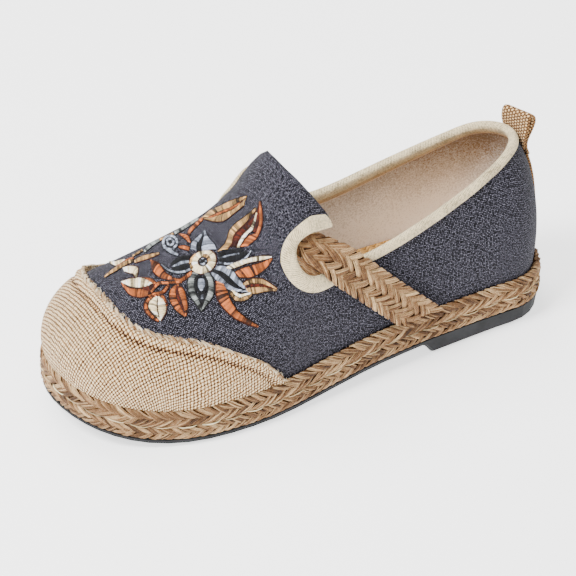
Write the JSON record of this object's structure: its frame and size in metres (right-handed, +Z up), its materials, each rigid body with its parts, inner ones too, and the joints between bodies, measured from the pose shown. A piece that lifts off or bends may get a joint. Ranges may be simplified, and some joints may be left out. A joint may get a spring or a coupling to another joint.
{
  "type": "embroidered shoe",
  "caption": "Woman's left slip-on shoe of dark blue-grey canvas with flower embroidery, burlap toe cap, pale collar binding, slanting plaited straps and a jute-wrapped low rubber sole.",
  "frame": {"origin": "centre of the sole's bounding box, on the floor", "axes": "+X to the toe, +Y to the outer (left) side of the foot, +Z up"},
  "size_m": [0.248, 0.1004, 0.1023],
  "materials": {
    "rubber": "matt moulded grey rubber",
    "jute": "two rows of plaited jute with a running stitch",
    "straw": "woven golden straw",
    "canvas": "blue-grey slub canvas, cream cotton lining inside",
    "burlap": "open plain-weave burlap with a frayed folded edge",
    "binding": "cream cotton bias binding",
    "plait": "doubled flat jute plait",
    "tape": "woven jute tape",
    "embroidery": "satin-stitched cotton thread in grey-blue, cream, gold and rust"
  },
  "bodies": {
    "root": {"outsole": "rubber", "jute_wrap": "jute", "insole": "straw", "upper": "canvas", "toe_cap": "burlap", "collar_binding": "binding", "strap_outer": "plait", "strap_inner": "plait", "backstay": "tape", "pull_loop": "tape"}
  },
  "joints": []
}
